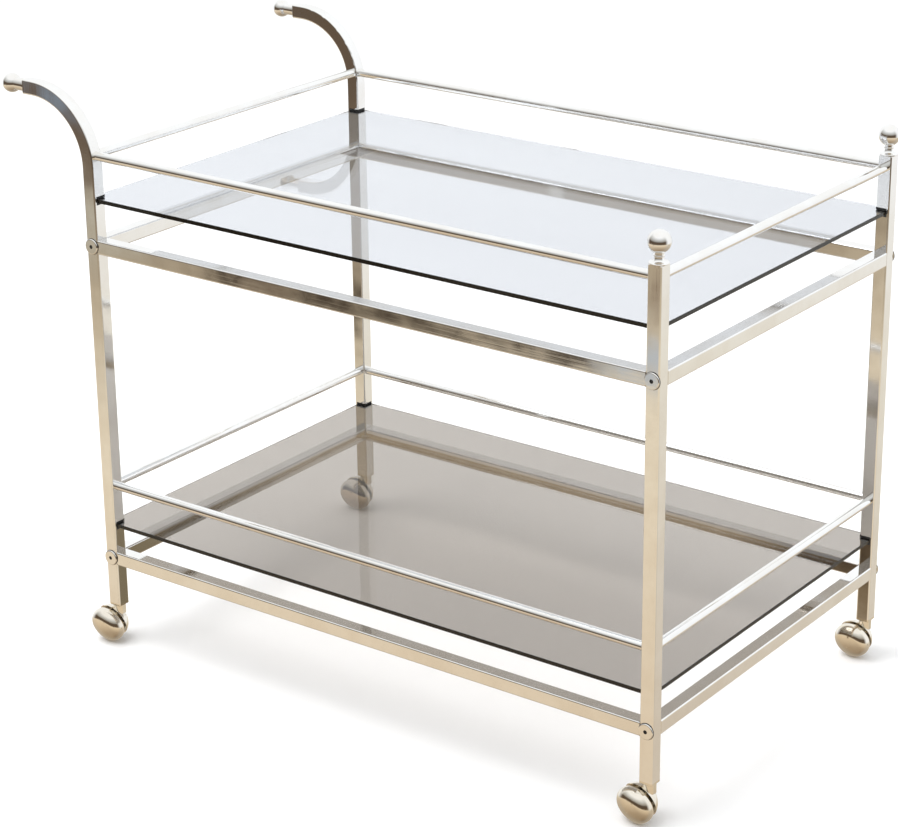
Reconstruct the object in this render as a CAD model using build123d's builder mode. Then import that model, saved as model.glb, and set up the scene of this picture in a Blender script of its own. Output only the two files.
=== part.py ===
"""Bar cart on wheels: a square-tube frame with two glass shelves, gallery rods and swivel casters.

Frame of reference: origin on the floor under the centre of the frame, +X towards the front end
(the end with the finials), +Y towards the left side of a person who pushes the cart, +Z up.
All sizes are in millimetres.
"""
from build123d import *
from math import asin, atan2, cos, degrees, radians, sin, sqrt
import os

# ---------------------------------------------------------------- driving dimensions
LENGTH = 886.0            # over the outer faces of the posts, along X
WIDTH = 565.0             # over the outer faces of the posts, along Y
TUBE = 19.0               # side of the square tube
WALL = 1.5                # wall of the square tube
TUBE_ROUND = 2.0          # outer corner radius of the square tube
TUBE_ROUND_IN = 0.8       # inner corner radius of the square tube

POST_FOOT = 58.5          # lower end of every post tube
FRONT_POST_TOP = 707.0    # upper end of the front post tubes
LOWER_RAIL = 127.5        # height of the lower rails' centre line
UPPER_RAIL = 573.0        # height of the upper rails' centre line
LOWER_GLASS_TOP = 178.2
UPPER_GLASS_TOP = 638.0
LOWER_ROD = 233.0         # height of the lower gallery rods' centre line
UPPER_ROD = 694.5         # height of the upper gallery rods' centre line

BEND_START = 678.0        # height at which the rear posts begin to bend into the handles
BEND_RADIUS = 93.0        # centre-line radius of the handle bend
HANDLE_RUN = 13.5         # straight run after the bend

ROD_RADIUS = 6.0
ROD_WALL = 1.0
ROD_SEAT = 3.0            # depth that a gallery rod enters a post

GLASS_THICK = 5.5
GLASS_INSET = 4.3         # from the posts' outer faces to the edge of the glass
GLASS_CORNER = 2.0
GLASS_BEVEL = 0.6         # ground edge of the glass
PAD_SKIN = 3.0            # pad above and below the glass
PAD_EDGE = 1.0            # pad round the edge of the glass

BOLT_RADIUS = 3.0
BOLT_HOLE = 3.2
BOLT_HEAD_RADIUS = 10.5
BOLT_HEAD_THICK = 2.4
BOLT_GRIP = 16.0          # thread inside the rail's end plug
BOLT_SOCKET_FLATS = 5.0
BOLT_SOCKET_DEPTH = 2.2
RAIL_PLUG_LENGTH = 20.0

CAP_PLATE = 3.0           # visible plate of the plug in a front post or a handle
CAP_SHANK = 5.5           # part of that plug inside the tube
STUD_RADIUS = 3.0
BALL_CENTRE = 25.5        # from a front post's cap plate to the centre of the finial's ball
GRIP_BALL_CENTRE = 27.3   # from a handle's cap plate to the centre of its ball
FINIAL_BALL = 14.0
FINIAL_BASE = 12.0        # radius of the finial's foot
FINIAL_WAIST = 5.6
FINIAL_BEAD = 6.8
HANDLE_BALL = 12.75
HANDLE_COLLAR = 9.3
HANDLE_NECK = 8.4

SOCKET_PLATE = 3.5        # visible plate of the caster socket under a post
SOCKET_DEPTH = 36.0       # part of the socket inside the post
STEM_RADIUS = 4.0
STEM_FIT = 0.05           # radial running clearance of the stem in its socket
STEM_LENGTH = 42.0
STEM_FOOT = 42.0          # height of the stem's lower end

AXLE_TILT = 19.0          # the axle points this far below the horizontal
AXLE_RADIUS = 3.0
AXLE_FIT = 0.05           # radial running clearance of the wheel on its axle
WHEEL_LATERAL = 10.0      # from the swivel axis to the ball's centre, along the axle
WHEEL_TRAIL = 11.0         # from the swivel axis to the ball's centre, across the axle
TREAD_CROWN = 25.5        # radius of the wheel at the crown of its tread
TREAD_ROUND = 13.0        # radius of the tread's cross-section
TREAD_CENTRE = 3.0        # the tread's crown, measured along the axle from the ball's centre
TREAD_BACK_DEG = -44.0    # the tread's cross-section runs from this direction
TREAD_FRONT_DEG = 40.0    # to this one, where the dome carries it on
RIM_INNER = 19.5          # inner radius of the wheel's rim
WEB_BACK = -1.0           # the web's faces, along the axle
WEB_FRONT = 2.5
HOOD_RADIUS = 25.5
HOOD_WALL = 1.6
HOOD_LIP = -7.5           # the hood's open edge, along the axle
DOME_TOP = 18.5           # the dome's crown, along the axle
DOME_WALL = 1.2
HUB_RADIUS = 6.5
HUB_BACK = -8.0
HUB_FRONT = 8.5
END_PLAY = 0.4            # clearance of a turning part along its axis
BOSS_RADIUS = 8.6         # the hood's collar round the stem
AXLE_BOSS_RADIUS = 6.0    # the hood's boss round the axle
AXLE_BACK = 24.9          # end of the axle behind the ball's centre
AXLE_HEAD_RADIUS = 4.8
AXLE_HEAD_THICK = 1.7

SIDES = {"right": -1, "left": 1}
ENDS = {"front": 1, "rear": -1}
SWIVEL_DEG = {                      # direction in which each wheel's dome faces, seen from above
    ("front", "right"): -100.0,
    ("front", "left"): -93.0,
    ("rear", "right"): -93.0,
    ("rear", "left"): -90.0,
}

# ---------------------------------------------------------------- derived dimensions
POST_X = (LENGTH - TUBE) / 2
POST_Y = (WIDTH - TUBE) / 2
INNER = TUBE - 2 * WALL
RAIL_X = LENGTH - 2 * TUBE          # clear length between the posts
RAIL_Y = WIDTH - 2 * TUBE
GLASS_X = LENGTH - 2 * GLASS_INSET
GLASS_Y = WIDTH - 2 * GLASS_INSET
PAD_SIDE = TUBE - GLASS_INSET + PAD_EDGE
STUD_REACH = CAP_PLATE + CAP_SHANK
SOCKET_FACE = POST_FOOT - SOCKET_PLATE
TREAD_CORE = TREAD_CROWN - TREAD_ROUND
BALL_HEIGHT = (
    TREAD_CENTRE * sin(radians(AXLE_TILT)) + TREAD_CORE * cos(radians(AXLE_TILT)) + TREAD_ROUND
)

# The crown of the dome is the sphere that touches the tread's round and the dome's top.
DOME_RISE = DOME_TOP - TREAD_CENTRE
DOME_CROWN = (TREAD_CORE**2 + DOME_RISE**2 - TREAD_ROUND**2) / (2 * (DOME_RISE - TREAD_ROUND))

os.makedirs("parts", exist_ok=True)


def save(builder, name):
    """Label a finished piece and write its STEP file."""
    builder.part.label = name
    export_step(builder.part, f"parts/{name}.step")


def tube_ring():
    """Cross-section of the square tube, drawn in the sketch that is open."""
    RectangleRounded(TUBE, TUBE, TUBE_ROUND)
    RectangleRounded(INNER, INNER, TUBE_ROUND_IN, mode=Mode.SUBTRACT)


def round_point(centre, radius, angle_deg):
    """Point on a circle, in a direction from its centre."""
    return (centre[0] + radius * cos(radians(angle_deg)), centre[1] + radius * sin(radians(angle_deg)))


def arc(centre, radius, start_deg, end_deg):
    """Circular arc about a centre in the open line, from one direction to another."""
    middle_deg = (start_deg + end_deg) / 2
    ThreePointArc(*[round_point(centre, radius, angle) for angle in (start_deg, middle_deg, end_deg)])


# ---------------------------------------------------------------- posts
def cut_post_openings(end, side):
    """Cut the glass slots, bolt holes and rod holes of a post in the part that is open."""
    post_x, post_y = ENDS[end] * POST_X, SIDES[side] * POST_Y
    slot_x = ENDS[end] * (LENGTH / 2 - TUBE + PAD_SIDE / 2)
    slot_y = SIDES[side] * (WIDTH / 2 - TUBE + PAD_SIDE / 2)
    for glass_top in (LOWER_GLASS_TOP, UPPER_GLASS_TOP):
        with BuildSketch(Plane.XY.offset(glass_top - GLASS_THICK - PAD_SKIN)) as slot:
            with Locations((slot_x, slot_y)):
                Rectangle(PAD_SIDE, PAD_SIDE)
        extrude(slot.sketch, amount=GLASS_THICK + 2 * PAD_SKIN, mode=Mode.SUBTRACT)
    for rail_height in (LOWER_RAIL, UPPER_RAIL):
        across = Plane((post_x, post_y, rail_height), x_dir=(1, 0, 0), z_dir=(0, 1, 0))
        with BuildSketch(across) as bolt_hole:
            Circle(BOLT_HOLE)
        extrude(bolt_hole.sketch, amount=TUBE, both=True, mode=Mode.SUBTRACT)
    for rod_height in (LOWER_ROD, UPPER_ROD):
        post_centre = (post_x, post_y, rod_height)
        for inward in ((-ENDS[end], 0, 0), (0, -SIDES[side], 0)):
            with BuildSketch(Plane(post_centre, x_dir=(0, 0, 1), z_dir=inward)) as rod_hole:
                Circle(ROD_RADIUS)
            extrude(rod_hole.sketch, amount=TUBE, mode=Mode.SUBTRACT)


for side in SIDES:
    with BuildPart() as front_post:
        with BuildSketch(Plane((POST_X, SIDES[side] * POST_Y, POST_FOOT))):
            tube_ring()
        extrude(amount=FRONT_POST_TOP - POST_FOOT)
        cut_post_openings("front", side)
    save(front_post, f"front_post_{side}")

    # The rear post bends backwards at its upper end and is its own push handle.
    bend_centre = (-POST_X - BEND_RADIUS, SIDES[side] * POST_Y, BEND_START)
    bend_end = (-POST_X - BEND_RADIUS, SIDES[side] * POST_Y, BEND_START + BEND_RADIUS)
    with BuildPart() as rear_post:
        with BuildSketch(Plane((-POST_X, SIDES[side] * POST_Y, POST_FOOT))):
            tube_ring()
        extrude(amount=BEND_START - POST_FOOT)
        with BuildSketch(Plane((-POST_X, SIDES[side] * POST_Y, BEND_START))):
            tube_ring()
        revolve(axis=Axis(bend_centre, (0, -1, 0)), revolution_arc=90)
        with BuildSketch(Plane(bend_end, x_dir=(0, 1, 0), z_dir=(-1, 0, 0))):
            tube_ring()
        extrude(amount=HANDLE_RUN)
        cut_post_openings("rear", side)
    save(rear_post, f"rear_post_{side}")

# ---------------------------------------------------------------- rails
for level, rail_height in (("upper", UPPER_RAIL), ("lower", LOWER_RAIL)):
    for side in SIDES:
        rail_start = (-RAIL_X / 2, SIDES[side] * POST_Y, rail_height)
        with BuildPart() as side_rail:
            with BuildSketch(Plane(rail_start, x_dir=(0, 1, 0), z_dir=(1, 0, 0))):
                tube_ring()
            extrude(amount=RAIL_X)
        save(side_rail, f"{level}_side_rail_{side}")
    for end in ENDS:
        rail_start = (ENDS[end] * POST_X, -RAIL_Y / 2, rail_height)
        with BuildPart() as cross_rail:
            with BuildSketch(Plane(rail_start, x_dir=(1, 0, 0), z_dir=(0, 1, 0))):
                tube_ring()
            extrude(amount=RAIL_Y)
        save(cross_rail, f"{level}_cross_rail_{end}")

    # A threaded plug closes each end of the cross rails and takes the frame bolt.
    with BuildPart() as rail_plugs:
        for end in ENDS:
            for side in SIDES:
                plug_face = (ENDS[end] * POST_X, SIDES[side] * RAIL_Y / 2, rail_height)
                with BuildSketch(Plane(plug_face, x_dir=(1, 0, 0), z_dir=(0, -SIDES[side], 0))):
                    RectangleRounded(INNER, INNER, TUBE_ROUND_IN)
                    Circle(BOLT_RADIUS, mode=Mode.SUBTRACT)
                extrude(amount=RAIL_PLUG_LENGTH)
    save(rail_plugs, f"{level}_rail_plugs")

    # Disc-headed bolts run through the posts into the plugs.
    with BuildPart() as frame_bolts:
        for end in ENDS:
            for side in SIDES:
                head_seat = (ENDS[end] * POST_X, SIDES[side] * WIDTH / 2, rail_height)
                outward = (0, SIDES[side], 0)
                with BuildSketch(Plane(head_seat, x_dir=(1, 0, 0), z_dir=outward)):
                    Circle(BOLT_RADIUS)
                extrude(amount=-(TUBE + BOLT_GRIP))
                with BuildSketch(Plane(head_seat, x_dir=(1, 0, 0), z_dir=outward)):
                    Circle(BOLT_HEAD_RADIUS)
                extrude(amount=BOLT_HEAD_THICK)
                head_face = Plane(head_seat, x_dir=(1, 0, 0), z_dir=outward).offset(BOLT_HEAD_THICK)
                with BuildSketch(head_face):
                    RegularPolygon(BOLT_SOCKET_FLATS / sqrt(3), 6)
                extrude(amount=-BOLT_SOCKET_DEPTH, mode=Mode.SUBTRACT)
        outer_rims = (
            frame_bolts.edges()
            .filter_by(GeomType.CIRCLE)
            .filter_by(lambda edge: edge.radius > BOLT_RADIUS + 1)
            .filter_by(lambda edge: abs(edge.center().Y) > WIDTH / 2 + BOLT_HEAD_THICK / 2)
        )
        fillet(outer_rims, radius=1.2)
    save(frame_bolts, f"{level}_frame_bolts")

# ---------------------------------------------------------------- gallery rods
for level, rod_height in (("upper", UPPER_ROD), ("lower", LOWER_ROD)):
    for side in SIDES:
        rod_start = (-RAIL_X / 2 - ROD_SEAT, SIDES[side] * POST_Y, rod_height)
        with BuildPart() as side_rod:
            with BuildSketch(Plane(rod_start, x_dir=(0, 1, 0), z_dir=(1, 0, 0))):
                Circle(ROD_RADIUS)
                Circle(ROD_RADIUS - ROD_WALL, mode=Mode.SUBTRACT)
            extrude(amount=RAIL_X + 2 * ROD_SEAT)
        save(side_rod, f"{level}_gallery_rod_{side}")
    for end in ENDS:
        rod_start = (ENDS[end] * POST_X, -RAIL_Y / 2 - ROD_SEAT, rod_height)
        with BuildPart() as end_rod:
            with BuildSketch(Plane(rod_start, x_dir=(1, 0, 0), z_dir=(0, 1, 0))):
                Circle(ROD_RADIUS)
                Circle(ROD_RADIUS - ROD_WALL, mode=Mode.SUBTRACT)
            extrude(amount=RAIL_Y + 2 * ROD_SEAT)
        save(end_rod, f"{level}_gallery_rod_{end}")

# ---------------------------------------------------------------- glass shelves and their pads
for level, glass_top in (("upper", UPPER_GLASS_TOP), ("lower", LOWER_GLASS_TOP)):
    with BuildPart() as glass:
        with BuildSketch(Plane.XY.offset(glass_top - GLASS_THICK)):
            RectangleRounded(GLASS_X, GLASS_Y, GLASS_CORNER)
        extrude(amount=GLASS_THICK)
        chamfer(glass.faces().filter_by(Axis.Z).edges(), length=GLASS_BEVEL)
    save(glass, f"{level}_glass_shelf")

    # Each corner of the glass sits in a black pad that fills the slot in the post.
    with BuildPart() as pads:
        with BuildSketch(Plane.XY.offset(glass_top - GLASS_THICK - PAD_SKIN)):
            for end in ENDS:
                for side in SIDES:
                    pad_x = ENDS[end] * (LENGTH / 2 - TUBE + PAD_SIDE / 2)
                    pad_y = SIDES[side] * (WIDTH / 2 - TUBE + PAD_SIDE / 2)
                    with Locations((pad_x, pad_y)):
                        Rectangle(PAD_SIDE, PAD_SIDE)
        extrude(amount=GLASS_THICK + 2 * PAD_SKIN)
        with BuildSketch(Plane.XY.offset(glass_top - GLASS_THICK)):
            RectangleRounded(GLASS_X, GLASS_Y, GLASS_CORNER)
        extrude(amount=GLASS_THICK, mode=Mode.SUBTRACT)
    save(pads, f"{level}_glass_pads")


# ---------------------------------------------------------------- caps, finials and handle balls
def cap_plug(face):
    """Square plug: face is the plane of the tube's open end, its normal pointing outwards."""
    with BuildSketch(face) as plate:
        RectangleRounded(TUBE, TUBE, TUBE_ROUND)
    extrude(plate.sketch, amount=CAP_PLATE)
    with BuildSketch(face) as shank:
        RectangleRounded(INNER, INNER, TUBE_ROUND_IN)
    extrude(shank.sketch, amount=-CAP_SHANK)
    with BuildSketch(face.offset(CAP_PLATE)) as stud_hole:
        Circle(STUD_RADIUS)
    extrude(stud_hole.sketch, amount=-(CAP_PLATE + CAP_SHANK), mode=Mode.SUBTRACT)


def end_face(end, side):
    """Plane of the open upper end of a post: level on the front posts, upright on the handles."""
    if end == "front":
        return Plane((POST_X, SIDES[side] * POST_Y, FRONT_POST_TOP))
    tip = (-POST_X - BEND_RADIUS - HANDLE_RUN, SIDES[side] * POST_Y, BEND_START + BEND_RADIUS)
    return Plane(tip, x_dir=(0, 1, 0), z_dir=(-1, 0, 0))


for end, node, outward in (("front", "front_post_caps", (0, 0, 1)), ("rear", "handle_caps", (-1, 0, 0))):
    with BuildPart() as caps:
        for side in SIDES:
            cap_plug(end_face(end, side))
        plate_faces = caps.faces().filter_by(
            lambda face: face.area > 0.7 * TUBE**2 and face.normal_at().dot(Vector(outward)) > 0.9
        )
        chamfer(plate_faces.edges().filter_by(GeomType.LINE), length=0.5)
    save(caps, node)

for side in SIDES:
    seat = end_face("front", side).offset(CAP_PLATE)
    finial_axis = Axis(seat.origin, seat.z_dir)
    waist_top = BALL_CENTRE - sqrt(FINIAL_BALL**2 - FINIAL_WAIST**2)
    with BuildPart() as finial:
        with BuildSketch(Plane(seat.origin, x_dir=seat.x_dir, z_dir=-seat.y_dir)):
            with BuildLine():
                Polyline(
                    (0, BALL_CENTRE + FINIAL_BALL), (0, -STUD_REACH), (STUD_RADIUS, -STUD_REACH),
                    (STUD_RADIUS, 0), (FINIAL_BASE - 0.5, 0), (FINIAL_BASE, 0.5), (FINIAL_BASE, 1.4),
                    (FINIAL_BASE - 0.6, 2.0),
                )
                ThreePointArc((FINIAL_BASE - 0.6, 2.0), (7.4, 3.6), (FINIAL_WAIST, 7.0))
                Line((FINIAL_WAIST, 7.0), (FINIAL_WAIST, 8.2))
                ThreePointArc((FINIAL_WAIST, 8.2), (FINIAL_BEAD, 9.6), (FINIAL_WAIST, 11.0))
                Line((FINIAL_WAIST, 11.0), (FINIAL_WAIST, waist_top))
                ThreePointArc(
                    (FINIAL_WAIST, waist_top), (FINIAL_BALL, BALL_CENTRE), (0, BALL_CENTRE + FINIAL_BALL)
                )
            make_face()
        revolve(axis=finial_axis, revolution_arc=360)
    save(finial, f"finial_{side}")

    seat = end_face("rear", side).offset(CAP_PLATE)
    neck_top = GRIP_BALL_CENTRE - sqrt(HANDLE_BALL**2 - HANDLE_NECK**2)
    ball_top = GRIP_BALL_CENTRE + HANDLE_BALL
    with BuildPart() as handle_ball:
        with BuildSketch(Plane(seat.origin, x_dir=seat.x_dir, z_dir=-seat.y_dir)):
            with BuildLine():
                Polyline(
                    (0, ball_top), (0, -STUD_REACH), (STUD_RADIUS, -STUD_REACH),
                    (STUD_RADIUS, 0), (HANDLE_COLLAR - 0.4, 0), (HANDLE_COLLAR, 0.4),
                    (HANDLE_COLLAR, 2.0), (HANDLE_COLLAR - 0.8, 2.8), (HANDLE_NECK, 3.4),
                    (HANDLE_NECK, neck_top),
                )
                ThreePointArc((HANDLE_NECK, neck_top), (HANDLE_BALL, GRIP_BALL_CENTRE), (0, ball_top))
            make_face()
        revolve(axis=Axis(seat.origin, seat.z_dir), revolution_arc=360)
    save(handle_ball, f"handle_ball_{side}")


# ---------------------------------------------------------------- casters
def build_caster(end, side):
    """Socket, stem, hood, axle, wheel and dome cover of the caster under one post."""
    post_x, post_y = ENDS[end] * POST_X, SIDES[side] * POST_Y
    turn = radians(SWIVEL_DEG[end, side])
    tilt = radians(AXLE_TILT)
    facing = Vector(cos(turn), sin(turn), 0)
    across = Vector(-sin(turn), cos(turn), 0)
    axle_dir = facing * cos(tilt) + Vector(0, 0, -sin(tilt))
    ball = Vector(post_x, post_y, BALL_HEIGHT) + facing * WHEEL_LATERAL - across * WHEEL_TRAIL
    axle_axis = Axis(ball, axle_dir)
    # In the meridian plane the sketch's x is the distance from the axle and y runs along the axle.
    meridian = Plane(ball, x_dir=across, z_dir=across.cross(axle_dir))

    with BuildPart() as socket:
        with BuildSketch(Plane((post_x, post_y, SOCKET_FACE))):
            RectangleRounded(TUBE, TUBE, TUBE_ROUND)
        extrude(amount=SOCKET_PLATE)
        chamfer(socket.faces().sort_by(Axis.Z)[0].edges(), length=0.6)
        with BuildSketch(Plane((post_x, post_y, POST_FOOT))):
            RectangleRounded(INNER, INNER, TUBE_ROUND_IN)
        extrude(amount=SOCKET_DEPTH)
        with BuildSketch(Plane((post_x, post_y, SOCKET_FACE))):
            Circle(STEM_RADIUS + STEM_FIT)
        extrude(amount=SOCKET_PLATE + SOCKET_DEPTH, mode=Mode.SUBTRACT)
    save(socket, f"caster_socket_{end}_{side}")

    with BuildPart() as stem:
        with BuildSketch(Plane((post_x, post_y, STEM_FOOT))):
            Circle(STEM_RADIUS)
        extrude(amount=STEM_LENGTH)
        chamfer(stem.edges().sort_by(Axis.Z)[-1], length=1.2)
    save(stem, f"caster_stem_{end}_{side}")

    inner_radius = HOOD_RADIUS - HOOD_WALL
    lip_outer = degrees(asin(HOOD_LIP / HOOD_RADIUS))
    lip_inner = degrees(asin(HOOD_LIP / inner_radius))
    with BuildPart() as hood:
        with BuildSketch(meridian):
            with BuildLine():
                arc((0, 0), HOOD_RADIUS, lip_outer, -90)
                Line((0, -HOOD_RADIUS), (0, -inner_radius))
                arc((0, 0), inner_radius, -90, lip_inner)
                Line(
                    (inner_radius * cos(radians(lip_inner)), HOOD_LIP),
                    (HOOD_RADIUS * cos(radians(lip_outer)), HOOD_LIP),
                )
            make_face()
        revolve(axis=axle_axis, revolution_arc=360)
        with BuildSketch(Plane(ball + axle_dir * (HUB_BACK - END_PLAY), z_dir=-axle_dir)):
            Circle(AXLE_BOSS_RADIUS)
        extrude(amount=inner_radius + HUB_BACK)
        with BuildSketch(Plane((post_x, post_y, STEM_FOOT))):
            Circle(BOSS_RADIUS)
        extrude(amount=SOCKET_FACE - END_PLAY - STEM_FOOT)
        with BuildSketch(Plane((post_x, post_y, STEM_FOOT))):
            Circle(STEM_RADIUS)
        extrude(amount=SOCKET_FACE - STEM_FOOT, mode=Mode.SUBTRACT)
        with BuildSketch(Plane(ball, z_dir=-axle_dir)):
            Circle(AXLE_RADIUS)
        extrude(amount=HOOD_RADIUS + 1, mode=Mode.SUBTRACT)
    save(hood, f"caster_hood_{end}_{side}")

    with BuildPart() as axle:
        with BuildSketch(Plane(ball - axle_dir * AXLE_BACK, z_dir=axle_dir)):
            Circle(AXLE_RADIUS)
        extrude(amount=AXLE_BACK + HUB_FRONT + END_PLAY)
        with BuildSketch(Plane(ball + axle_dir * (HUB_FRONT + END_PLAY), z_dir=axle_dir)):
            Circle(AXLE_HEAD_RADIUS)
        extrude(amount=AXLE_HEAD_THICK)
        chamfer(axle.edges().sort_by(axle_axis)[-1], length=0.5)
    save(axle, f"caster_axle_{end}_{side}")

    tread = (TREAD_CORE, TREAD_CENTRE)
    back_edge = round_point(tread, TREAD_ROUND, TREAD_BACK_DEG)
    front_edge = round_point(tread, TREAD_ROUND, TREAD_FRONT_DEG)
    front_inner = round_point(tread, TREAD_ROUND - DOME_WALL, TREAD_FRONT_DEG)
    bore = AXLE_RADIUS + AXLE_FIT
    with BuildPart() as wheel:
        with BuildSketch(meridian):
            with BuildLine():
                Polyline(
                    back_edge, (RIM_INNER, back_edge[1]), (RIM_INNER, WEB_BACK), (HUB_RADIUS, WEB_BACK),
                    (HUB_RADIUS, HUB_BACK), (bore, HUB_BACK), (bore, HUB_FRONT), (HUB_RADIUS, HUB_FRONT),
                    (HUB_RADIUS, WEB_FRONT), (RIM_INNER, WEB_FRONT), (RIM_INNER, front_inner[1]),
                    front_inner, front_edge,
                )
                arc(tread, TREAD_ROUND, TREAD_FRONT_DEG, TREAD_BACK_DEG)
            make_face()
        revolve(axis=axle_axis, revolution_arc=360)
    save(wheel, f"caster_wheel_{end}_{side}")

    crown = (0, DOME_TOP - DOME_CROWN)
    tangent_deg = degrees(atan2(TREAD_CENTRE - crown[1], TREAD_CORE))
    with BuildPart() as dome:
        with BuildSketch(meridian):
            with BuildLine():
                arc(tread, TREAD_ROUND, TREAD_FRONT_DEG, tangent_deg)
                arc(crown, DOME_CROWN, tangent_deg, 90)
                Line((0, DOME_TOP), (0, DOME_TOP - DOME_WALL))
                arc(crown, DOME_CROWN - DOME_WALL, 90, tangent_deg)
                arc(tread, TREAD_ROUND - DOME_WALL, tangent_deg, TREAD_FRONT_DEG)
                Line(front_inner, front_edge)
            make_face()
        revolve(axis=axle_axis, revolution_arc=360)
    save(dome, f"caster_dome_{end}_{side}")


for end in ENDS:
    for side in SIDES:
        build_caster(end, side)
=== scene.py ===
"""Looks of the bar cart on wheels: chrome, smoked glass, rubber pads, studio floor, light and camera."""
import math

import bmesh
import bpy
from mathutils import Matrix, Vector


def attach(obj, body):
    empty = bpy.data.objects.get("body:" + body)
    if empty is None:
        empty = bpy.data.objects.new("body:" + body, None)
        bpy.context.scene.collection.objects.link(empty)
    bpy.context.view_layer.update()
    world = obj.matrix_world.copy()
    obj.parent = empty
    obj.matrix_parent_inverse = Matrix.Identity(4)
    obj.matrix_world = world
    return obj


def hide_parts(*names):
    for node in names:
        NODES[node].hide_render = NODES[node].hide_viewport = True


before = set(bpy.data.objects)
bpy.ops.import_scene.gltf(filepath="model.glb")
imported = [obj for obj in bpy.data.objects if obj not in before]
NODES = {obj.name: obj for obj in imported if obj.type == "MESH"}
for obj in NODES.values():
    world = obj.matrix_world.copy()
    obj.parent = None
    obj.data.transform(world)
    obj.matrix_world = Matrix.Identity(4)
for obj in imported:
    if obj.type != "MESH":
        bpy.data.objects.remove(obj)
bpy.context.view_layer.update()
SIDES = ("right", "left")
ENDS = ("front", "rear")


# ---------------------------------------------------------------- node helpers
class Tree:
    """A short way to add and link shader nodes."""

    def __init__(self, owner):
        owner.use_nodes = True
        self.tree = owner.node_tree
        self.tree.nodes.clear()

    def add(self, kind, inputs=None, **settings):
        node = self.tree.nodes.new(kind)
        for key, value in settings.items():
            setattr(node, key, value)
        for key, value in (inputs or {}).items():
            if isinstance(value, bpy.types.NodeSocket):
                self.tree.links.new(value, node.inputs[key])
            else:
                node.inputs[key].default_value = value
        return node

    def math(self, operation, first, second=0.0, third=0.0, clamp=False):
        inputs = {0: first, 1: second, 2: third}
        return self.add("ShaderNodeMath", inputs, operation=operation, use_clamp=clamp).outputs[0]

    def vector(self, operation, first, second=(0, 0, 0)):
        node = self.add("ShaderNodeVectorMath", {0: first, 1: second}, operation=operation)
        return node.outputs["Value" if operation in ("DOT_PRODUCT", "LENGTH") else "Vector"]

    def blend(self, share, first, second, mode="MIX"):
        inputs = {0: share, 6: first, 7: second}
        return self.add("ShaderNodeMix", inputs, data_type="RGBA", blend_type=mode).outputs[2]

    def steps(self, value, low, high, low_out=0.0, high_out=1.0):
        """Smooth change from low_out to high_out as value goes from low to high."""
        inputs = {0: value, 1: low, 2: high, 3: low_out, 4: high_out}
        return self.add("ShaderNodeMapRange", inputs, interpolation_type="SMOOTHSTEP").outputs[0]

    def noise(self, position, scale, detail=3.0, roughness=0.5, distortion=0.0):
        inputs = {
            "Vector": position, "Scale": scale, "Detail": detail,
            "Roughness": roughness, "Distortion": distortion,
        }
        return self.add("ShaderNodeTexNoise", inputs).outputs["Fac"]

    def ramp(self, value, stops):
        node = self.add("ShaderNodeValToRGB", {0: value})
        elements = node.color_ramp.elements
        while len(elements) < len(stops):
            elements.new(0.5)
        for element, (position, colour) in zip(elements, stops):
            element.position = position
            element.color = rgba(colour)
        return node.outputs[0]


def rgba(colour, alpha=1.0):
    return (*colour[:3], alpha)


def direction(azimuth, elevation):
    """Unit vector towards an azimuth (0 is +Y, 90 is -X) and an elevation, in degrees."""
    turn, rise = math.radians(azimuth), math.radians(elevation)
    return Vector((-math.sin(turn) * math.cos(rise), math.cos(turn) * math.cos(rise), math.sin(rise)))


# ---------------------------------------------------------------- camera, floor and light
def make_camera():
    data = bpy.data.cameras.new("camera")
    camera = bpy.data.objects.new("camera", data)
    bpy.context.scene.collection.objects.link(camera)
    camera.location = (1.8909, -2.6031, 1.6059)
    yaw, pitch, roll = math.radians(34.79), math.radians(20.76), math.radians(0.08)
    turn = Matrix.Rotation(yaw, 3, "Z") @ Matrix.Rotation(math.pi / 2 - pitch, 3, "X")
    turn = turn @ Matrix.Rotation(roll, 3, "Z")
    camera.rotation_euler = turn.to_euler()
    data.sensor_width = 36.0
    data.lens = 103.96
    data.shift_x = -0.101
    data.shift_y = -0.032
    data.clip_end = 60.0
    bpy.context.scene.camera = camera


# Colours of the studio by elevation in degrees: the pale backdrop side and the open room side.
BACKDROP_STOPS = (
    (-90, (0.30, 0.26, 0.21)), (-45, (0.50, 0.43, 0.34)), (-28, (0.66, 0.57, 0.46)),
    (-20, (0.82, 0.77, 0.67)), (-14, (1.0, 1.01, 1.03)), (30, (1.06, 1.08, 1.10)), (90, (1.06, 1.06, 1.06)),
)
ROOM_STOPS = (
    (-90, (0.30, 0.22, 0.14)), (-55, (0.46, 0.36, 0.25)), (-28, (0.77, 0.63, 0.46)),
    (-21, (0.83, 0.72, 0.55)), (-18.5, (0.50, 0.41, 0.29)), (-16, (0.13, 0.09, 0.06)),
    (4, (0.10, 0.075, 0.055)), (11, (0.36, 0.34, 0.31)), (28, (0.66, 0.67, 0.67)), (48, (1.04, 1.05, 1.06)),
    (90, (1.06, 1.06, 1.06)),
)
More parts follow.
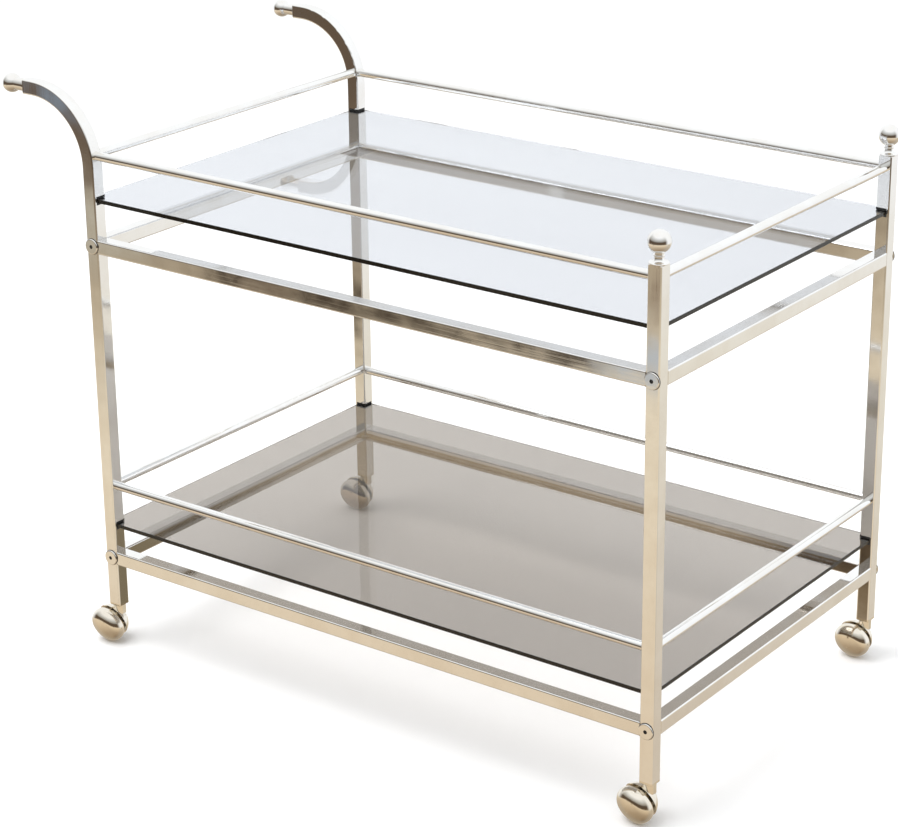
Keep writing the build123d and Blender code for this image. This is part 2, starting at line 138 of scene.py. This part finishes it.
# Soft cards round the cart: azimuth, elevation, half width, half height, softness, lean, colour.
CARDS = (
    (143.1, -19.4, 3.4, 0.42, 0.12, -14.5, (0.035, 0.022, 0.014)),
    (139.6, -18.6, 2.05, 0.42, 0.12, -14.5, (0.035, 0.022, 0.014)),
    (138.95, -18.45, 0.6, 0.42, 0.12, -14.5, (0.17, 0.125, 0.085)),
    (135.0, -17.0, 1.2, 0.8, 0.3, 0.0, (0.48, 0.43, 0.34)),
    (148.0, -20.3, 1.3, 0.45, 0.3, 0.0, (0.48, 0.51, 0.54)),
    (148.5, -18.7, 0.55, 0.4, 0.2, 0.0, (0.16, 0.10, 0.06)),
    (136.3, -13.3, 2.25, 1.2, 0.2, 0.0, (0.22, 0.26, 0.31)),
    (153.5, -23.8, 2.6, 2.6, 0.8, 0.0, (0.20, 0.14, 0.08)),
    (153.5, -24.2, 2.0, 0.5, 0.4, 0.0, (0.06, 0.04, 0.024)),
    (153.5, -15.6, 2.6, 1.0, 0.5, 0.0, (0.13, 0.10, 0.065)),
    (-45.0, -25.0, 3.0, 3.2, 1.6, 0.0, (0.20, 0.16, 0.10)),
)


def make_world():
    world = bpy.data.worlds.new("studio")
    bpy.context.scene.world = world
    t = Tree(world)
    towards = t.vector("NORMALIZE", t.add("ShaderNodeTexCoord").outputs["Generated"])
    height = t.vector("DOT_PRODUCT", towards, (0, 0, 1))
    elevation = t.math("MULTIPLY", t.math("ARCSINE", height), 180 / math.pi)
    wander = t.math("SUBTRACT", t.noise(towards, 9.0, detail=2.0), 0.5)
    wandering = t.math("MULTIPLY_ADD", wander, 6.0, elevation)
    colours = []
    for stops, level in ((BACKDROP_STOPS, elevation), (ROOM_STOPS, wandering)):
        share = t.math("MULTIPLY_ADD", level, 1 / 180, 0.5)
        colours.append(t.ramp(share, [((rise + 90) / 180, colour) for rise, colour in stops]))
    facing = t.vector("DOT_PRODUCT", towards, tuple(direction(10, 0)))
    colour = t.blend(t.steps(facing, -0.25, 0.35), colours[1], colours[0])
    for azimuth, rise, half_width, half_height, softness, lean, paint in CARDS:
        centre = direction(azimuth, rise)
        right = centre.cross(Vector((0, 0, 1))).normalized()
        turn = Matrix.Rotation(math.radians(lean), 3, centre)
        up = turn @ right.cross(centre)
        right = turn @ right
        soft = math.radians(softness)
        mask = t.math("GREATER_THAN", t.vector("DOT_PRODUCT", towards, tuple(centre)), 0.5)
        for axis, half in ((right, half_width), (up, half_height)):
            off = t.math("ABSOLUTE", t.vector("DOT_PRODUCT", towards, tuple(axis)))
            edge = math.radians(half)
            mask = t.math("MULTIPLY", mask, t.steps(off, edge - soft, edge + soft, 1.0, 0.0))
        colour = t.blend(mask, colour, rgba(paint))
    background = t.add("ShaderNodeBackground", {"Color": colour, "Strength": 1.0})
    t.add("ShaderNodeOutputWorld", {"Surface": background.outputs[0]})


def make_floor():
    bpy.ops.mesh.primitive_plane_add(size=40)
    floor = bpy.context.object
    floor.name = "floor"
    material = bpy.data.materials.new("pale_floor")
    t = Tree(material)
    position = t.add("ShaderNodeTexCoord").outputs["Object"]
    mottle = t.noise(position, 1.3, detail=4.0)
    colour = t.blend(mottle, (0.93, 0.93, 0.93, 1), (0.96, 0.96, 0.96, 1))
    shader = t.add("ShaderNodeBsdfPrincipled", {"Base Color": colour, "Roughness": 0.9})
    t.add("ShaderNodeOutputMaterial", {"Surface": shader.outputs[0]})
    floor.data.materials.append(material)
    # The chrome mirrors the studio round it and not this floor.
    floor.visible_glossy = False


def make_light():
    data = bpy.data.lights.new("softbox", "AREA")
    data.shape = "DISK"
    data.size = 4.0
    data.energy = 150.0
    lamp = bpy.data.objects.new("softbox", data)
    bpy.context.scene.collection.objects.link(lamp)
    lamp.location = (-1.2, -1.6, 4.2)
    lamp.rotation_euler = (Vector((0, 0, 0.3)) - lamp.location).to_track_quat("-Z", "Y").to_euler()
    lamp.visible_glossy = False


# ---------------------------------------------------------------- materials
def new_material(name):
    material = bpy.data.materials.new(name)
    return material, Tree(material)


def chrome(name, along, pale, warm, shine=0.045):
    """Plated tube or fitting: along is the axis (0, 1, 2) of its drawing lines, or None if turned."""
    material, t = new_material(name)
    position = t.add("ShaderNodeTexCoord").outputs["Object"]
    stretch = [1.0, 1.0, 1.0]
    if along is not None:
        stretch[along] = 0.02
    drawn = t.vector("MULTIPLY", position, tuple(stretch))
    lines = t.noise(drawn, 260.0, detail=2.0)
    scratches = t.noise(drawn, 2600.0, detail=2.0)
    waves = t.noise(position, 22.0, detail=1.0)
    smudges = t.noise(position, 14.0, detail=5.0, roughness=0.6)
    pits = t.add("ShaderNodeTexVoronoi", {"Vector": position, "Scale": 420.0}).outputs["Distance"]
    pitted = t.steps(pits, 0.05, 0.11, 1.0, 0.0)
    patch = t.steps(t.noise(position, 30.0, detail=2.0), 0.56, 0.68)
    pitted = t.math("MULTIPLY", pitted, patch)
    colour = t.blend(t.steps(smudges, 0.35, 0.65), rgba(pale), rgba(warm))
    colour = t.blend(t.math("MULTIPLY", pitted, 0.55), colour, (0.20, 0.16, 0.12, 1))
    rough = t.steps(smudges, 0.35, 0.75, shine * 0.7, shine * 1.9)
    rough = t.math("MULTIPLY_ADD", scratches, shine * 0.5, rough)
    rough = t.math("MULTIPLY_ADD", pitted, 0.35, rough)
    height = t.math("MULTIPLY_ADD", lines, 0.000010, t.math("MULTIPLY", waves, 0.00012))
    height = t.math("MULTIPLY_ADD", scratches, 0.0000006, height)
    bump = t.add("ShaderNodeBump", {"Height": height, "Distance": 1.0, "Strength": 1.0}).outputs[0]
    shader = t.add(
        "ShaderNodeBsdfPrincipled",
        {"Base Color": colour, "Metallic": 1.0, "Roughness": rough, "Normal": bump},
    )
    t.add("ShaderNodeOutputMaterial", {"Surface": shader.outputs[0]})
    return material


def rubber(name):
    material, t = new_material(name)
    position = t.add("ShaderNodeTexCoord").outputs["Object"]
    grain = t.noise(position, 900.0, detail=3.0)
    dust = t.noise(position, 60.0, detail=4.0)
    colour = t.blend(dust, (0.012, 0.012, 0.013, 1), (0.035, 0.033, 0.030, 1))
    bump = t.add("ShaderNodeBump", {"Height": grain, "Distance": 0.00008, "Strength": 1.0}).outputs[0]
    rough = t.steps(dust, 0.3, 0.7, 0.55, 0.75)
    shader = t.add("ShaderNodeBsdfPrincipled", {"Base Color": colour, "Roughness": rough, "Normal": bump})
    t.add("ShaderNodeOutputMaterial", {"Surface": shader.outputs[0]})
    return material


def smoked_glass(name, passed):
    """Float glass; passed is the colour that one look through the pane at the camera's angle lets through."""
    material, t = new_material(name)
    position = t.add("ShaderNodeTexCoord").outputs["Object"]
    film = t.noise(position, 9.0, detail=5.0, roughness=0.65)
    wipes = t.noise(t.vector("MULTIPLY", position, (1.0, 0.15, 1.0)), 60.0, detail=3.0)
    rough = t.steps(t.math("MULTIPLY_ADD", wipes, 0.35, film), 0.45, 0.95, 0.003, 0.03)
    # Painted shade: the pane's colour turns darker towards the front right, with streaks laid over it.
    streaks = t.noise(t.vector("MULTIPLY", position, (0.35, 2.2, 1.0)), 7.0, detail=2.0)
    forward = t.vector("DOT_PRODUCT", position, (0.57, -0.82, 0))
    front_shade_and_streaks = t.math("MULTIPLY_ADD", streaks, 0.5, t.steps(forward, -0.35, 0.40, 0.0, 0.75))
    surface = t.blend(front_shade_and_streaks, (1, 1, 1, 1), (0.88, 0.88, 0.89, 1))
    wave = t.noise(position, 6.0, detail=1.0)
    bump = t.add("ShaderNodeBump", {"Height": wave, "Distance": 0.0002, "Strength": 1.0}).outputs[0]
    shader = t.add(
        "ShaderNodeBsdfPrincipled",
        {
            "Base Color": surface, "Roughness": rough, "IOR": 1.5,
            "Transmission Weight": 1.0, "Normal": bump,
        },
    )
    look_length = 0.0070
    loss = [-math.log(share) / look_length for share in passed]
    density = max(loss)
    tint = [1 - channel / density for channel in loss]
    absorb = t.add("ShaderNodeVolumeAbsorption", {"Color": rgba(tint), "Density": density})
    t.add("ShaderNodeOutputMaterial", {"Surface": shader.outputs[0], "Volume": absorb.outputs[0]})
    return material


def steel(name):
    material, t = new_material(name)
    position = t.add("ShaderNodeTexCoord").outputs["Object"]
    rings = t.noise(position, 1500.0, detail=2.0)
    colour = t.blend(rings, (0.42, 0.41, 0.40, 1), (0.58, 0.57, 0.55, 1))
    rough = t.steps(rings, 0.2, 0.8, 0.22, 0.38)
    shader = t.add("ShaderNodeBsdfPrincipled", {"Base Color": colour, "Metallic": 1.0, "Roughness": rough})
    t.add("ShaderNodeOutputMaterial", {"Surface": shader.outputs[0]})
    return material


PALE, WARM = (0.93, 0.93, 0.92), (0.89, 0.875, 0.845)
CHROME = [chrome(f"chrome_along_{axis}", index, PALE, WARM) for index, axis in enumerate("xyz")]
TURNED = chrome("chrome_turned", None, (0.93, 0.93, 0.92), (0.88, 0.86, 0.82), shine=0.03)
CASTER = chrome("caster_plate", None, (0.89, 0.85, 0.77), (0.82, 0.76, 0.65), shine=0.07)
STEEL = steel("plain_steel")
RUBBER = rubber("black_rubber")
# Near-black used only for painted shade round and inside the bolt heads.
SHADE_BLACK = rubber("painted_shade_black")
WELD = chrome("weld_bead", None, (0.78, 0.75, 0.70), (0.60, 0.56, 0.50), shine=0.16)
UPPER_GLASS = smoked_glass("upper_smoked_glass", (0.75, 0.77, 0.80))
LOWER_GLASS = smoked_glass("lower_smoked_glass", (0.42, 0.385, 0.345))


def material_of(node):
    if "glass_shelf" in node:
        return UPPER_GLASS if "upper" in node else LOWER_GLASS
    if "pads" in node:
        return RUBBER
    if "stem" in node or "axle" in node or "plugs" in node:
        return STEEL
    if "caster" in node:
        return CASTER
    if "cap" in node or "finial" in node or "ball" in node or "bolt" in node:
        return TURNED
    if "post" in node:
        return CHROME[2]
    if "side_rail" in node or node.endswith(("rod_right", "rod_left")):
        return CHROME[0]
    return CHROME[1]


for node, piece in NODES.items():
    piece.data.materials.clear()
    piece.data.materials.append(material_of(node))

# ---------------------------------------------------------------- pieces made here
def outline(half_width, half_depth, corner, steps=6):
    """Points round a rectangle with round corners."""
    points = []
    for quarter, (right, up) in enumerate(((1, 1), (-1, 1), (-1, -1), (1, -1))):
        for step in range(steps + 1):
            turn = math.radians(90 * (quarter + step / steps))
            across = right * (half_width - corner) + corner * math.cos(turn)
            along = up * (half_depth - corner) + corner * math.sin(turn)
            points.append((across, along))
    return points


def skin(name, rings, material, body, closed=False):
    """Surface through rings of points; it is capped at both ends unless it closes on itself."""
    mesh = bmesh.new()
    loops = [[mesh.verts.new(point) for point in ring] for ring in rings]
    pairs = list(zip(loops, loops[1:]))
    if closed:
        pairs.append((loops[-1], loops[0]))
    else:
        mesh.faces.new(loops[0])
        mesh.faces.new(loops[-1])
    for lower, upper in pairs:
        for index in range(len(lower)):
            after = (index + 1) % len(lower)
            mesh.faces.new((lower[index], lower[after], upper[after], upper[index]))
    bmesh.ops.recalc_face_normals(mesh, faces=mesh.faces)
    data = bpy.data.meshes.new(name)
    mesh.to_mesh(data)
    mesh.free()
    if closed:
        data.polygons.foreach_set("use_smooth", [True] * len(data.polygons))
    piece = bpy.data.objects.new(name, data)
    bpy.context.scene.collection.objects.link(piece)
    data.materials.append(material)
    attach(piece, body)
    return piece


def make_pane(level, top, material):
    """Glass shelf with a ground edge."""
    half_x, half_y, thick, bevel = 0.4387, 0.2782, 0.0055, 0.0006
    rings = []
    for height, inset in ((thick, bevel), (thick - bevel, 0.0), (bevel, 0.0), (0.0, bevel)):
        flat = outline(half_x - inset, half_y - inset, 0.002)
        rings.append([(across, along, top - thick + height) for across, along in flat])
    pane = skin(f"{level}_pane", rings, material, "cart_frame")
    # Clear glass hardly darkens the floor under it.
    pane.visible_shadow = False
    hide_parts(f"{level}_glass_shelf")


def make_weld(level, side, end, height):
    """Fine weld bead round the end of a side rail, where it meets the post."""
    centre_y = (-1 if side == "right" else 1) * 0.273
    face_x = (1 if end == "front" else -1) * 0.424
    bead, rings = 0.0005, []
    for across, along in outline(0.0095, 0.0095, 0.002):
        out = Vector((0, across, along)).normalized()
        middle = Vector((face_x, centre_y + across, height + along)) - out * 0.0001
        turns = [math.radians(45 * step) for step in range(8)]
        rings.append([
            tuple(middle + out * bead * math.cos(turn) + Vector((bead * math.sin(turn), 0, 0)))
            for turn in turns
        ])
    skin(f"{level}_{side}_rail_weld_{end}", rings, WELD, "cart_frame", closed=True)


def make_bolt_shade(level, side, end, height):
    """Dark ring under a bolt head and dark disc at the bottom of its hexagon socket: both painted shade, for
    the shadow gap under the head and the shade inside the socket.
    """
    out_y = -1 if side == "right" else 1
    centre_x = (1 if end == "front" else -1) * 0.4335
    for part, radius, count, low, high in (
        ("washer", 0.0109, 48, 0.28252, 0.28305), ("socket_dirt", 0.0027, 6, 0.28272, 0.28355),
    ):
        rings = []
        for out in (low, high):
            turns = [2 * math.pi * step / count for step in range(count)]
            rings.append([
                (centre_x + radius * math.cos(turn), out_y * out, height + radius * math.sin(turn))
                for turn in turns
            ])
        skin(f"{level}_{side}_{part}_{end}", rings, SHADE_BLACK, "cart_frame")


make_pane("upper", 0.6380, UPPER_GLASS)
make_pane("lower", 0.1782, LOWER_GLASS)
for level, height in (("upper", 0.5730), ("lower", 0.1275)):
    for side in SIDES:
        for end in ENDS:
            make_weld(level, side, end, height)
            make_bolt_shade(level, side, end, height)

make_camera()
make_world()
make_floor()
make_light()
bpy.context.scene.view_settings.view_transform = "Standard"
